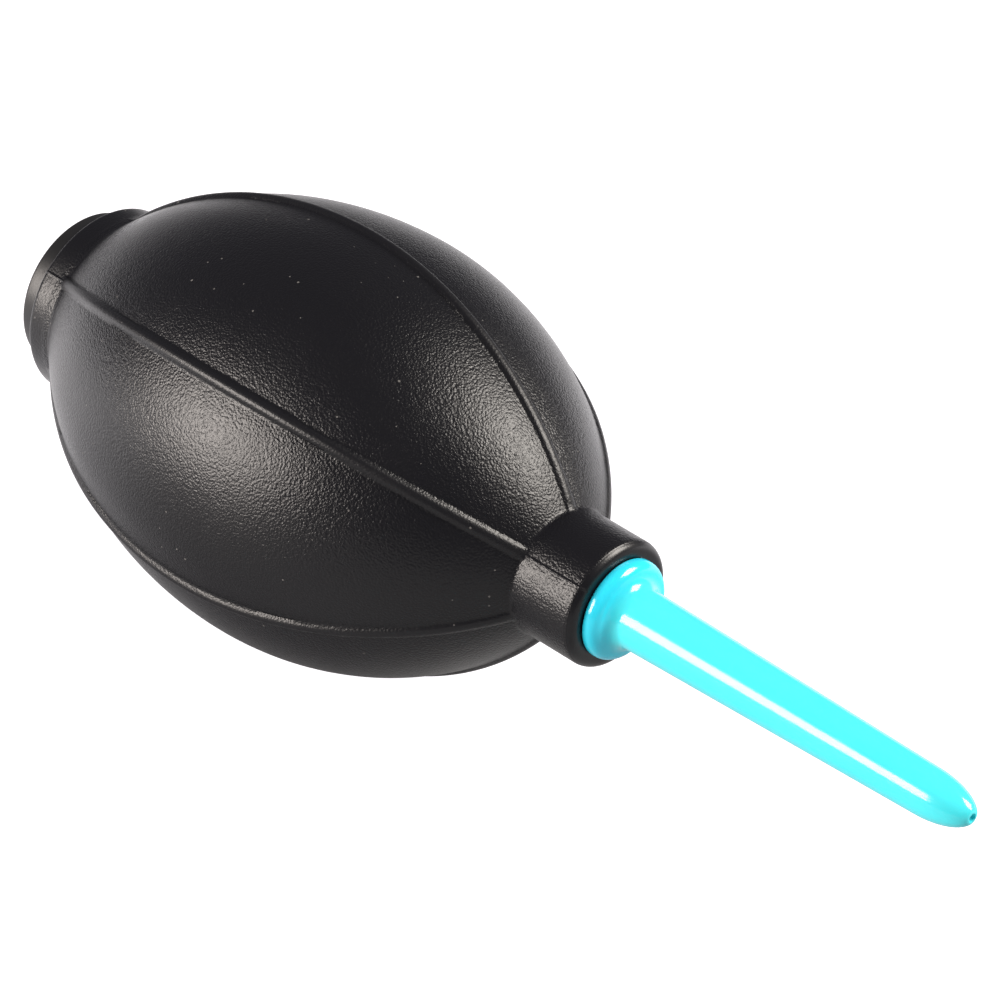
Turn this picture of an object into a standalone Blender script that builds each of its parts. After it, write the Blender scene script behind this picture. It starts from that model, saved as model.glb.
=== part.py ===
"""Squeeze-bulb dust blower, lying on its side.

A ribbed rubber bulb with a push-in nozzle at its front end and a one-way air inlet valve at its
rear end.  Metres, +Z up.  The blower's axis runs along +X towards the nozzle tip, the origin is
under the middle of the overall length, and the bulb rests on the plane z = 0.

Along the axis a "station" is the distance from the bulb's widest section, positive towards the
nozzle.  An angle round the axis is measured from straight up towards -Y.
"""

import math

import bmesh
import bpy
from mathutils import Matrix

# ---------------------------------------------------------------- driving sizes
GAP = 0.0003                    # clearance between pieces that touch
MERGE = 0.00001                 # merge distance of the turned shapes
OVERSHOOT = 0.002               # how far a cutter passes the faces that it cuts

# Rubber bulb
BELLY_RADIUS = 0.0275
FRONT_REACH = 0.0398            # widest section to the neck's base
REAR_REACH = 0.0398             # widest section to the collar's base
FRONT_END_RADIUS = 0.0068       # belly surface, carried on to the neck's base
REAR_END_RADIUS = 0.0115        # belly surface, carried on to the collar's base
WALL = 0.0026

# Ribs along the bulb
RIB_COUNT = 6
FIRST_RIB_ANGLE = math.radians(45)
RIB_ROUND = 0.00085             # radius of a rib's round section
RIB_HEIGHT = 0.0006             # how far a rib stands out of the belly

# Front neck, which grips the nozzle
NECK_RADIUS = 0.0083
NECK_LENGTH = 0.0087
NECK_EDGE = 0.0013
NECK_BORE = 0.0049

# Rear collar, which grips the inlet valve
COLLAR_RADIUS = 0.0127
COLLAR_LENGTH = 0.0026
COLLAR_EDGE = 0.0004
COLLAR_BORE = 0.0080

# Squeeze walls: the two opposite panels that the thumb and the fingers press
WINDOW_END_MARGIN = 0.0138      # end of the belly to the end of a wall
WINDOW_SIDE_MARGIN = 0.0024     # foot of the next rib to the side of a wall

# Nozzle
NOZZLE_REACH = 0.0543           # neck face to tip
TUBE_BASE_RADIUS = 0.00385
TUBE_TIP_RADIUS = 0.00300       # where the pointed tip begins
TIP_LENGTH = 0.0070
ORIFICE_RADIUS = 0.00055
ORIFICE_LENGTH = 0.0030
ORIFICE_LIP = 0.0003
AIRWAY_RADIUS = 0.0018
BEAD_RADIUS = 0.00645
BEAD_RIM = 0.0003               # straight rim between the neck and the bead's rounding
BEAD_ROUND = 0.00145
FILLET_RADIUS = 0.0018          # hollow corner between bead and tube
SPIGOT_LENGTH = 0.0125
SPIGOT_RIDGES = 3
SPIGOT_RIDGE_HEIGHT = 0.0003
SPIGOT_RIDGE_LENGTH = 0.0010
SPIGOT_RIDGE_PITCH = 0.0028
SPIGOT_RIDGE_START = 0.0014     # neck face to the first ridge
SPIGOT_BEVEL = 0.0012

# Rear cover
COVER_DEPTH = 0.0037
COVER_EDGE = 0.0005
COVER_WALL = 0.0012
COVER_HOLES = 6
COVER_LAND = 0.0040             # flat ring between the holes and the rounded edge
COVER_HOLE_WEB = 0.0024         # material between two holes

# Valve
FLANGE_THICKNESS = 0.0012
FLANGE_SEAT = 0.0011            # how far the flange laps over the collar's rear face
BARREL_WALL = 0.0015
CAGE_RECESS = 0.0008            # cage to the barrel's inner end
SNAP_HEIGHT = 0.0006
SNAP_LENGTH = 0.0012
SEAT_DEPTH = 0.0014             # collar's rear face to the seat's rear face
SEAT_THICKNESS = 0.0012
PORT_COUNT = 6
PORT_LAND = 0.0015              # how far the flap laps over the ports
PORT_WEB = 0.0016
FLAP_CLEARANCE = 0.0006
FLAP_THICKNESS = 0.0007
FLAP_LIFT = 0.0010
CAGE_THICKNESS = 0.0015
CAGE_WINDOWS = 4
CAGE_RIM = 0.0012
CAGE_WEB = 0.0013

# Facets
BULB_STEPS = 48
TURN_STEPS = 32
HOLE_SIDES = 12
ARC_STEPS = 9
HOLLOW_ARC_STEPS = 6
ROUND_STEPS = 4
RIB_HALF_STEPS = 6
WINDOW_SIDES = 36

# Looks: colour and roughness of each material
LOOKS = {
    "black_rubber": ((0.018, 0.017, 0.019), 0.5),
    "cyan_plastic": ((0.0, 0.62, 0.78), 0.12),
    "black_plastic": ((0.012, 0.012, 0.013), 0.38),
    "natural_plastic": ((0.75, 0.75, 0.72), 0.35),
    "silicone": ((0.62, 0.64, 0.62), 0.45),
}

# ---------------------------------------------------------------- derived places
OVERALL = COVER_DEPTH + COLLAR_LENGTH + REAR_REACH + FRONT_REACH + NECK_LENGTH + NOZZLE_REACH
AXIS_HEIGHT = BELLY_RADIUS
COLLAR_FACE = -REAR_REACH - COLLAR_LENGTH
REAR_FACE = COLLAR_FACE - COVER_DEPTH
NECK_FACE = FRONT_REACH + NECK_LENGTH
NOZZLE_TIP = NECK_FACE + NOZZLE_REACH
BELLY_X = -OVERALL / 2 - REAR_FACE
SEAT_REAR = COLLAR_FACE + SEAT_DEPTH
SEAT_FRONT = SEAT_REAR + SEAT_THICKNESS
FLAP_REAR = SEAT_FRONT + GAP
FLAP_FRONT = FLAP_REAR + FLAP_THICKNESS
CAGE_REAR = FLAP_FRONT + FLAP_LIFT + GAP
CAGE_FRONT = CAGE_REAR + CAGE_THICKNESS
BARREL_RADIUS = COLLAR_BORE - GAP
BARREL_BORE = BARREL_RADIUS - BARREL_WALL
FLAP_RADIUS = BARREL_BORE - FLAP_CLEARANCE
CAGE_RADIUS = BARREL_BORE - GAP
FLANGE_RADIUS = COLLAR_BORE + FLANGE_SEAT
COVER_BORE = FLANGE_RADIUS + GAP
COVER_RADIUS = COVER_BORE + COVER_WALL
SPIGOT_RADIUS = NECK_BORE - GAP - SPIGOT_RIDGE_HEIGHT
WINDOW_LENGTH = 2 * (min(FRONT_REACH, REAR_REACH) - WINDOW_END_MARGIN)
WINDOW_WIDTH = 2 * (BELLY_RADIUS * math.sin(math.pi / RIB_COUNT) - RIB_ROUND - WINDOW_SIDE_MARGIN)
SQUEEZE_ANGLES = {
    "lower_squeeze_wall": FIRST_RIB_ANGLE + math.pi / 2,
    "upper_squeeze_wall": FIRST_RIB_ANGLE - math.pi / 2,
}


def arc_radius(reach, end_radius):
    """Radius of the arc that falls from the belly's crest to end_radius over reach."""
    drop = BELLY_RADIUS - end_radius
    return (reach ** 2 + drop ** 2) / (2 * drop)


FRONT_ARC = arc_radius(FRONT_REACH, FRONT_END_RADIUS)
REAR_ARC = arc_radius(REAR_REACH, REAR_END_RADIUS)


def belly_station(arc, radius, inset=0.0):
    """Distance from the crest at which the belly, inset into its wall, has this radius."""
    centre = BELLY_RADIUS - arc
    return math.sqrt((arc - inset) ** 2 - (radius - centre) ** 2)


def belly_arc(arc, start, end, steps, inset=0.0):
    """Points (radius, station) on one half of the belly, at even steps of angle."""
    start_angle = math.asin(start / (arc - inset))
    end_angle = math.asin(end / (arc - inset))
    points = []
    for step in range(steps + 1):
        angle = start_angle + (end_angle - start_angle) * step / steps
        radius = BELLY_RADIUS - arc + (arc - inset) * math.cos(angle)
        points.append((radius, (arc - inset) * math.sin(angle)))
    return points


def corner(centre_radius, centre_station, size, start_degrees, end_degrees):
    """Points of a rounded corner; 0 degrees points outwards and 90 towards the nozzle."""
    points = []
    for step in range(ROUND_STEPS + 1):
        share = step / ROUND_STEPS
        angle = math.radians(start_degrees + (end_degrees - start_degrees) * share)
        radius = centre_radius + size * math.cos(angle)
        points.append((radius, centre_station + size * math.sin(angle)))
    return points


# ---------------------------------------------------------------- scene helpers
def clear_scene():
    for thing in list(bpy.data.objects):
        bpy.data.objects.remove(thing, do_unlink=True)


def new_collection(name):
    collection = bpy.data.collections.new(name)
    bpy.context.scene.collection.children.link(collection)
    return collection


def new_material(name):
    colour, roughness = LOOKS[name]
    material = bpy.data.materials.new(name)
    material.use_nodes = True
    shader = material.node_tree.nodes["Principled BSDF"]
    shader.inputs["Base Color"].default_value = (*colour, 1.0)
    shader.inputs["Roughness"].default_value = roughness
    material.diffuse_color = (*colour, 1.0)
    return material


def new_axis(collection):
    """Empty on the blower's axis at the belly: its local Z is the axis, towards the nozzle."""
    axis = bpy.data.objects.new("blower_axis", None)
    axis.location = (BELLY_X, 0.0, AXIS_HEIGHT)
    axis.rotation_euler = (0.0, math.pi / 2, 0.0)
    collection.objects.link(axis)
    return axis


def turned(name, outline, closed, steps, collection, axis):
    """Solid turned from an outline of (radius, station) points round the blower's axis."""
    mesh = bpy.data.meshes.new(name)
    verts = [(radius, 0.0, station) for radius, station in outline]
    edges = [(index, index + 1) for index in range(len(verts) - 1)]
    if closed:
        edges.append((len(verts) - 1, 0))
    mesh.from_pydata(verts, edges, [])
    piece = bpy.data.objects.new(name, mesh)
    piece.parent = axis
    collection.objects.link(piece)
    screw = piece.modifiers.new("turn", "SCREW")
    screw.axis = "Z"
    screw.angle = 2 * math.pi
    screw.steps = steps
    screw.render_steps = steps
    screw.use_merge_vertices = True
    screw.merge_threshold = MERGE
    screw.use_smooth_shade = True
    return piece


def make_cutter(piece):
    piece.hide_render = True
    piece.display_type = "WIRE"


def boolean(piece, operation, other, name):
    step = piece.modifiers.new(name, "BOOLEAN")
    step.operation = operation
    step.object = other
    step.solver = "EXACT"


def hole_circle(name, count, outer_radius, web, low, high, collection, axis):
    """Cutter of rods parallel to the axis: they fill a circle of outer_radius, a web apart."""
    spacing = math.sin(math.pi / count)
    hole_radius = (outer_radius * spacing - web / 2) / (1 + spacing)
    circle_radius = outer_radius - hole_radius
    mesh = bmesh.new()
    for index in range(count):
        angle = 2 * math.pi * index / count
        centre = (circle_radius * math.cos(angle), circle_radius * math.sin(angle), (low + high) / 2)
        bmesh.ops.create_cone(
            mesh, cap_ends=True, segments=HOLE_SIDES, radius1=hole_radius, radius2=hole_radius,
            depth=high - low, matrix=Matrix.Translation(centre))
    data = bpy.data.meshes.new(name)
    mesh.to_mesh(data)
    mesh.free()
    rods = bpy.data.objects.new(name, data)
    rods.parent = axis
    collection.objects.link(rods)
    make_cutter(rods)
    return rods


def window_prism(name, angle, inset, collection):
    """Oval prism through one side of the belly, along the direction that the wall is squeezed."""
    depth = BELLY_RADIUS + OVERSHOOT
    half_step = Matrix.Rotation(math.pi / WINDOW_SIDES, 4, "Z")  # keeps corners off facet lines
    mesh = bmesh.new()
    bmesh.ops.create_cone(
        mesh, cap_ends=True, segments=WINDOW_SIDES, radius1=1.0, radius2=1.0, depth=depth,
        matrix=half_step)
    half_length = WINDOW_LENGTH / 2 - inset
    half_width = WINDOW_WIDTH / 2 - inset
    bmesh.ops.scale(mesh, vec=(half_length, half_width, 1.0), verts=mesh.verts)
    bmesh.ops.translate(mesh, vec=(0.0, 0.0, depth / 2), verts=mesh.verts)
    data = bpy.data.meshes.new(name)
    mesh.to_mesh(data)
    mesh.free()
    prism = bpy.data.objects.new(name, data)
    prism.location = (BELLY_X, 0.0, AXIS_HEIGHT)
    prism.rotation_euler = (angle, 0.0, 0.0)
    collection.objects.link(prism)
    make_cutter(prism)
    return prism


# ---------------------------------------------------------------- rubber bulb
def bulb_outline():
    """Closed outline: down the outside from neck to collar, and back up the hollow."""
    neck_joint = belly_station(FRONT_ARC, NECK_RADIUS)
    collar_joint = belly_station(REAR_ARC, COLLAR_RADIUS)
    hollow_front = belly_station(FRONT_ARC, NECK_BORE, WALL)
    hollow_rear = belly_station(REAR_ARC, COLLAR_BORE, WALL)
    edge_radius = NECK_RADIUS - NECK_EDGE
    points = [(NECK_BORE, NECK_FACE)]
    points += corner(edge_radius, NECK_FACE - NECK_EDGE, NECK_EDGE, 90, 0)
    points += belly_arc(FRONT_ARC, neck_joint, 0.0, ARC_STEPS)
    points += belly_arc(REAR_ARC, 0.0, -collar_joint, ARC_STEPS)[1:]
    points += [(COLLAR_RADIUS, COLLAR_FACE + COLLAR_EDGE), (COLLAR_RADIUS - COLLAR_EDGE, COLLAR_FACE)]
    points += [(COLLAR_BORE, COLLAR_FACE)]
    points += belly_arc(REAR_ARC, -hollow_rear, 0.0, HOLLOW_ARC_STEPS, WALL)
    points += belly_arc(FRONT_ARC, 0.0, hollow_front, HOLLOW_ARC_STEPS, WALL)[1:]
    return points


def rib_path():
    """Points (radius, station) of a rib's centre line, from inside the neck to the collar."""
    sink = RIB_ROUND - RIB_HEIGHT
    front = belly_station(FRONT_ARC, NECK_RADIUS - RIB_ROUND, sink)
    rear = belly_station(REAR_ARC, COLLAR_RADIUS - RIB_ROUND, sink)
    path = belly_arc(FRONT_ARC, front, 0.0, RIB_HALF_STEPS, sink)
    path += belly_arc(REAR_ARC, 0.0, -rear, RIB_HALF_STEPS, sink)[1:]
    return path


def rib_bar(collection):
    """One rib as a mesh in the axis frame, straight up before it is turned to its angle."""
    curve = bpy.data.curves.new("rib_path", "CURVE")
    curve.dimensions = "3D"
    curve.bevel_depth = RIB_ROUND
    curve.bevel_resolution = 2
    curve.use_fill_caps = True
    path = rib_path()
    spline = curve.splines.new("POLY")
    spline.points.add(len(path) - 1)
    for point, (radius, station) in zip(spline.points, path):
        point.co = (-radius, 0.0, station, 1.0)
    bar = bpy.data.objects.new("rib_path", curve)
    collection.objects.link(bar)
    bpy.context.view_layer.update()
    evaluated = bar.evaluated_get(bpy.context.evaluated_depsgraph_get())
    data = bpy.data.meshes.new_from_object(evaluated)
    bpy.data.objects.remove(bar, do_unlink=True)
    return data


def make_ribs(collection, axis):
    """All the ribs as one joining shape, evenly spaced round the axis."""
    bar = rib_bar(collection)
    mesh = bmesh.new()
    for index in range(RIB_COUNT):
        angle = FIRST_RIB_ANGLE + 2 * math.pi * index / RIB_COUNT
        before = len(mesh.verts)
        mesh.from_mesh(bar)
        mesh.verts.ensure_lookup_table()
        bmesh.ops.rotate(mesh, cent=(0, 0, 0), matrix=Matrix.Rotation(angle, 3, "Z"),
                         verts=mesh.verts[before:])
    bmesh.ops.remove_doubles(mesh, verts=mesh.verts, dist=MERGE)
    data = bpy.data.meshes.new("rib_bars")
    mesh.to_mesh(data)
    mesh.free()
    ribs = bpy.data.objects.new("rib_bars", data)
    ribs.parent = axis
    collection.objects.link(ribs)
    make_cutter(ribs)
    return ribs


def make_bulb(parts, cutters, axis, rubber):
    bulb = turned("bulb_body", bulb_outline(), True, BULB_STEPS, parts, axis)
    bulb.data.materials.append(rubber)
    boolean(bulb, "UNION", make_ribs(cutters, axis), "add ribs")
    for wall_name, angle in SQUEEZE_ANGLES.items():
        prism = window_prism(wall_name + "_window", angle, 0.0, cutters)
        boolean(bulb, "DIFFERENCE", prism, "open " + wall_name)


def make_squeeze_walls(parts, cutters, axis, rubber):
    for wall_name, angle in SQUEEZE_ANGLES.items():
        wall = turned(wall_name, bulb_outline(), True, BULB_STEPS, parts, axis)
        wall.data.materials.append(rubber)
        prism = window_prism(wall_name + "_trim", angle, GAP, cutters)
        boolean(wall, "INTERSECT", prism, "trim to window")


# ---------------------------------------------------------------- nozzle
def nozzle_tip():
    """Rounded point, from the orifice's lip back to the tube."""
    start = NOZZLE_TIP - TIP_LENGTH
    end_angle = math.acos((ORIFICE_RADIUS + ORIFICE_LIP) / TUBE_TIP_RADIUS)
    reach = TIP_LENGTH / math.sin(end_angle)
    points = []
    for step in range(ARC_STEPS):
        angle = end_angle * (1 - step / ARC_STEPS)
        points.append((TUBE_TIP_RADIUS * math.cos(angle), start + reach * math.sin(angle)))
    points.append((TUBE_TIP_RADIUS, start))
    return points


def nozzle_bead():
    """Hollow corner off the tube, running smoothly into the round bead that seats on the neck."""
    seat = NECK_FACE + GAP
    bead_radius = BEAD_RADIUS - BEAD_ROUND
    bead_station = seat + BEAD_RIM
    across = TUBE_BASE_RADIUS + FILLET_RADIUS - bead_radius
    along = math.sqrt((BEAD_ROUND + FILLET_RADIUS) ** 2 - across ** 2)
    meeting = math.degrees(math.atan2(along, across))
    points = corner(
        bead_radius + across, bead_station + along, FILLET_RADIUS, 180, 180 + meeting)
    points += corner(bead_radius, bead_station, BEAD_ROUND, meeting, 0)[1:]
    points.append((BEAD_RADIUS, seat))
    return points


def spigot():
    """Ridged plug that the neck grips, with a bevelled end."""
    seat = NECK_FACE + GAP
    points = [(SPIGOT_RADIUS, seat)]
    for index in range(SPIGOT_RIDGES):
        top = NECK_FACE - SPIGOT_RIDGE_START - SPIGOT_RIDGE_PITCH * index
        points.append((SPIGOT_RADIUS, top))
        points.append((SPIGOT_RADIUS + SPIGOT_RIDGE_HEIGHT, top))
        points.append((SPIGOT_RADIUS, top - SPIGOT_RIDGE_LENGTH))
    end = NECK_FACE - SPIGOT_LENGTH
    points.append((SPIGOT_RADIUS, end + SPIGOT_BEVEL))
    points.append((SPIGOT_RADIUS - SPIGOT_BEVEL, end))
    return points


def make_nozzle(parts, axis, plastic):
    outline = [(ORIFICE_RADIUS, NOZZLE_TIP)]
    outline += nozzle_tip() + nozzle_bead() + spigot()
    outline += [(AIRWAY_RADIUS, NECK_FACE - SPIGOT_LENGTH)]
    throat = NOZZLE_TIP - ORIFICE_LENGTH
    outline += [(AIRWAY_RADIUS, throat - TIP_LENGTH), (ORIFICE_RADIUS, throat)]
    nozzle = turned("nozzle", outline, True, TURN_STEPS, parts, axis)
    nozzle.data.materials.append(plastic)


# ---------------------------------------------------------------- rear cover and valve
def make_cover(parts, cutters, axis, plastic):
    front = COLLAR_FACE - GAP
    ceiling = REAR_FACE + COVER_WALL
    outline = [(0.0, ceiling), (COVER_BORE, ceiling), (COVER_BORE, front), (COVER_RADIUS, front)]
    outline += corner(COVER_RADIUS - COVER_EDGE, REAR_FACE + COVER_EDGE, COVER_EDGE, 0, -90)
    outline += [(0.0, REAR_FACE)]
    cover = turned("inlet_cover", outline, False, TURN_STEPS, parts, axis)
    cover.data.materials.append(plastic)
    flat_radius = COVER_RADIUS - COVER_EDGE
    holes = hole_circle("cover_holes", COVER_HOLES, flat_radius - COVER_LAND, COVER_HOLE_WEB,
                        REAR_FACE - OVERSHOOT, ceiling + GAP, cutters, axis)
    boolean(cover, "DIFFERENCE", holes, "air holes")


def valve_body_outline():
    """Open outline: seat's front, barrel, snap ridge, flange, and the seat's rear face."""
    flange_front = COLLAR_FACE - GAP
    flange_rear = flange_front - FLANGE_THICKNESS
    snap_radius = BARREL_RADIUS + SNAP_HEIGHT
    snap_rear = -belly_station(REAR_ARC, COLLAR_BORE, WALL) + SNAP_HEIGHT + 2 * GAP
    snap_front = snap_rear + SNAP_LENGTH
    inner_end = max(CAGE_FRONT + CAGE_RECESS, snap_front + GAP)
    return [
        (0.0, SEAT_FRONT), (BARREL_BORE, SEAT_FRONT), (BARREL_BORE, inner_end),
        (BARREL_RADIUS, inner_end), (BARREL_RADIUS, snap_front), (snap_radius, snap_rear + GAP),
        (snap_radius, snap_rear), (BARREL_RADIUS, snap_rear), (BARREL_RADIUS, flange_front),
        (FLANGE_RADIUS, flange_front), (FLANGE_RADIUS, flange_rear), (BARREL_BORE, flange_rear),
        (BARREL_BORE, SEAT_REAR), (0.0, SEAT_REAR),
    ]


def make_valve_body(parts, cutters, axis, plastic):
    body = turned("valve_body", valve_body_outline(), False, TURN_STEPS, parts, axis)
    body.data.materials.append(plastic)
    ports = hole_circle("valve_ports", PORT_COUNT, FLAP_RADIUS - PORT_LAND, PORT_WEB,
                        SEAT_REAR - GAP, SEAT_FRONT + GAP, cutters, axis)
    boolean(body, "DIFFERENCE", ports, "air ports")


def plain_disc(name, radius, rear, front, parts, axis):
    outline = [(0.0, front), (radius, front), (radius, rear), (0.0, rear)]
    return turned(name, outline, False, TURN_STEPS, parts, axis)


def make_flap(parts, axis, silicone):
    flap = plain_disc("valve_flap", FLAP_RADIUS, FLAP_REAR, FLAP_FRONT, parts, axis)
    flap.data.materials.append(silicone)


def make_cage(parts, cutters, axis, plastic):
    cage = plain_disc("valve_cage", CAGE_RADIUS, CAGE_REAR, CAGE_FRONT, parts, axis)
    cage.data.materials.append(plastic)
    windows = hole_circle("cage_windows", CAGE_WINDOWS, CAGE_RADIUS - CAGE_RIM, CAGE_WEB,
                          CAGE_REAR - GAP, CAGE_FRONT + GAP, cutters, axis)
    boolean(cage, "DIFFERENCE", windows, "air windows")


def main():
    clear_scene()
    parts = new_collection("dust_blower_bulb")
    cutters = new_collection("cutters")
    axis = new_axis(parts)
    rubber = new_material("black_rubber")
    natural = new_material("natural_plastic")
    make_bulb(parts, cutters, axis, rubber)
    make_squeeze_walls(parts, cutters, axis, rubber)
    make_nozzle(parts, axis, new_material("cyan_plastic"))
    make_cover(parts, cutters, axis, new_material("black_plastic"))
    make_valve_body(parts, cutters, axis, natural)
    make_flap(parts, axis, new_material("silicone"))
    make_cage(parts, cutters, axis, natural)


main()
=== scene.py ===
"""Looks of the squeeze-bulb dust blower: grained rubber bulb, glossy nozzle and rear air inlet.

Metres, in the frame's own axes: +X along the blower towards the nozzle tip, +Z up.  A "station"
is the distance along the blower from the bulb's widest section, positive towards the nozzle, and
an angle round the blower is measured from straight up towards -Y.
"""

import math

import bmesh
import bpy
from mathutils import Matrix, Vector


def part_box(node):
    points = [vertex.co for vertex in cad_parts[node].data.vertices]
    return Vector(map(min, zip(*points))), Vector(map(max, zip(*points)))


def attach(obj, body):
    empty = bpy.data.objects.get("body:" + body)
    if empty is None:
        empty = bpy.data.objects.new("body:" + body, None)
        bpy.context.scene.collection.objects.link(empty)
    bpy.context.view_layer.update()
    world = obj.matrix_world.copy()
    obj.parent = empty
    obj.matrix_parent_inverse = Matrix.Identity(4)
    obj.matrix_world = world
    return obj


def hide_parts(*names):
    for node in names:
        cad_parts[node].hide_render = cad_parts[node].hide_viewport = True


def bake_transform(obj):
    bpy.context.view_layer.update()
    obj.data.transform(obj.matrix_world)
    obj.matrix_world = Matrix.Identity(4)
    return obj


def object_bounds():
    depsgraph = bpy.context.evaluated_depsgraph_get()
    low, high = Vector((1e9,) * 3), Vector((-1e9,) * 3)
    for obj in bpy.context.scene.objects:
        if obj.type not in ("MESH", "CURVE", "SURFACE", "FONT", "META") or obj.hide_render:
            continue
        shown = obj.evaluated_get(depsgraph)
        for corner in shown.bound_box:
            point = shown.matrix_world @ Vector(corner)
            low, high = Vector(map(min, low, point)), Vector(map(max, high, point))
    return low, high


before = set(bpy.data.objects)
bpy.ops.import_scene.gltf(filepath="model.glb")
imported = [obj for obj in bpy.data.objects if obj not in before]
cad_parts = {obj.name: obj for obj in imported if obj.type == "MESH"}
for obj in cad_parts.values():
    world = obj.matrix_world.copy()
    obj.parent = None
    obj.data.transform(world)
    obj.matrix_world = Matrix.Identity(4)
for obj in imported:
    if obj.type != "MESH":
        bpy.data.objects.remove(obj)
CAD_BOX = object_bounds()

# ------------------------------------------------------------------ places read from the frame
BULB_LOW, BULB_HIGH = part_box("bulb_body")
NOZZLE_LOW, NOZZLE_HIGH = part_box("nozzle")
COVER_LOW, COVER_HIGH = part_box("inlet_cover")
BELLY_RADIUS = (BULB_HIGH[1] - BULB_LOW[1]) / 2
AXIS_HEIGHT = BULB_LOW[2] + BELLY_RADIUS

# ------------------------------------------------------------------ sizes shared with the frame
FRONT_REACH = 0.0398
REAR_REACH = 0.0398
FRONT_END_RADIUS = 0.0068
REAR_END_RADIUS = 0.0115
WALL = 0.0026
NECK_RADIUS = 0.0083
NECK_LENGTH = 0.0087
NECK_EDGE = 0.0013
NECK_BORE = 0.0049
COLLAR_RADIUS = 0.0127
COLLAR_BORE = 0.0080
RIB_COUNT = 6
FIRST_RIB_ANGLE = math.radians(45)
RIB_HEIGHT = 0.0006
SQUEEZE_DIRECTIONS = {"lower": math.radians(135), "upper": math.radians(-45)}

BELLY_X = BULB_HIGH[0] - NECK_LENGTH - FRONT_REACH
NECK_FACE = FRONT_REACH + NECK_LENGTH
COLLAR_FACE = BULB_LOW[0] - BELLY_X
REAR_FACE = COVER_LOW[0] - BELLY_X
COVER_FRONT = COVER_HIGH[0] - BELLY_X
COVER_RADIUS = (COVER_HIGH[1] - COVER_LOW[1]) / 2
NOZZLE_TIP = NOZZLE_HIGH[0] - BELLY_X
NOZZLE_END = NOZZLE_LOW[0] - BELLY_X

# ------------------------------------------------------------------ fine shapes of the rubber
RIB_ROUND = 0.00085             # radius of a rib's round section
RIB_FOOT = 0.00025              # width of the soft foot beside a rib
RIB_FADE = 0.0012               # length over which a rib sinks into the neck or the collar
NECK_CREASE = 0.0004            # hollow corner between neck and belly
COLLAR_CREASE = 0.0004
COLLAR_EDGE = 0.0005
PART_LINE_HEIGHT = 0.00009
PART_LINE_HALF_WIDTH = 0.00022
COLLAR_GRAIN = 0.35             # share of the belly's grain that the collar carries
WAVE_HEIGHT = 0.00005           # slow unevenness of the moulded surface
WAVE_SCALE = 90.0
BELLY_STEPS = 80
HOLLOW_STEPS = 20
HALF_TURN_STEPS = 150
RIB_CROWDING = 0.8              # how much closer the mesh's lines lie at a rib
SMOOTH_LIP = 0.6                # share of the neck's rounded edge that carries no grain
SHADE_BAND_RISE = (0.7, 1.0)        # where the painted shade beside a rib starts and is full, and starts to fade and ends, in units of the rib's round
SHADE_BAND_FALL = (1.0, 1.6)        # and starts to fade and ends, in units of the rib's round
RUBBER_SHARP = 50               # corners sharper than this many degrees stay sharp

# ------------------------------------------------------------------ fine shapes of the nozzle
SEAT_GAP = 0.00008
RIM_STATION = 0.0006            # neck's face to the widest ring of the bead
TUBE_BASE_RADIUS = 0.00385
TUBE_TIP_RADIUS = 0.00300
TIP_LENGTH = 0.0070
ORIFICE_RADIUS = 0.00055
ORIFICE_LIP = 0.0003
ORIFICE_LENGTH = 0.0030
AIRWAY_RADIUS = 0.0018
BEAD_RADIUS = 0.00645
BEAD_ROUND = 0.00145
BEAD_HOLLOW = 0.0018
BEAD_BACK_EDGE = 0.0002
SPIGOT_RADIUS = 0.0043
SPIGOT_RIDGES = 3
SPIGOT_RIDGE_HEIGHT = 0.0003
SPIGOT_RIDGE_LENGTH = 0.0010
SPIGOT_RIDGE_PITCH = 0.0028
SPIGOT_RIDGE_START = 0.0014
SPIGOT_BEVEL = 0.0012
MOUTH_SOFTNESS = 0.00025        # bend between the orifice's lip and the pointed tip
TIP_STEPS = 40
NOZZLE_STEPS = 96
NOZZLE_SHARP = 40

# ------------------------------------------------------------------ fine shapes of the cover
COVER_EDGE = 0.0005
COVER_WALL = 0.0012
COVER_HOLES = 6
COVER_HOLE_RADIUS = 0.00123
COVER_HOLE_CIRCLE = 0.00487
COVER_GROOVE_RADIUS = 0.0088
COVER_GROOVE_DEPTH = 0.00025
COVER_SOFT_EDGE = 0.00018
COVER_STEPS = 96
COVER_SHARP = 35
COVER_BEVEL_ANGLE = math.radians(50)
HOLE_SIDES = 32

# ------------------------------------------------------------------ finishes
RUBBER = (0.0042, 0.0041, 0.0058, 1.0)
RUBBER_ON_RIBS = (0.0050, 0.0049, 0.0066, 1.0)
# darker rubber painted beside each rib as shade in the hollow there
RUBBER_PAINTED_RIB_SHADE = (0.0020, 0.0020, 0.0028, 1.0)
RUBBER_DUST = (0.23, 0.22, 0.21, 1.0)
RUBBER_ROUGHNESS = 0.30
RUBBER_GRAIN_CELLS = 3400.0     # grain cells in a metre
RUBBER_GRAIN_DEPTH = 0.00007
GRAIN_LOST_ON_RIBS = 0.6
GRAIN_LEFT_ON_EDGES = 0.12
NOZZLE_CYAN = (0.065, 0.78, 0.88, 1.0)
NOZZLE_PALE_CYAN = (0.080, 0.86, 0.94, 1.0)
# darker, bluer cyan painted on the bead as shade
NOZZLE_SHADED_CYAN = (0.022, 0.72, 0.98, 1.0)
NOZZLE_DUST = (0.6, 0.9, 0.95, 1.0)
NOZZLE_SHADE_SHARE = 0.85        # how far the bead's colour goes towards the darker cyan of its painted shade
NOZZLE_ROUGHNESS = 0.15
SILICONE = (0.55, 0.57, 0.56, 1.0)
SILICONE_PALE = (0.68, 0.70, 0.68, 1.0)
SILICONE_ROUGHNESS = 0.42
FLOOR_COLOUR = (0.38, 0.39, 0.41, 1.0)
FLOOR_GLOW_COLOUR = (1.0, 0.97, 1.0, 1.0)

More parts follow.
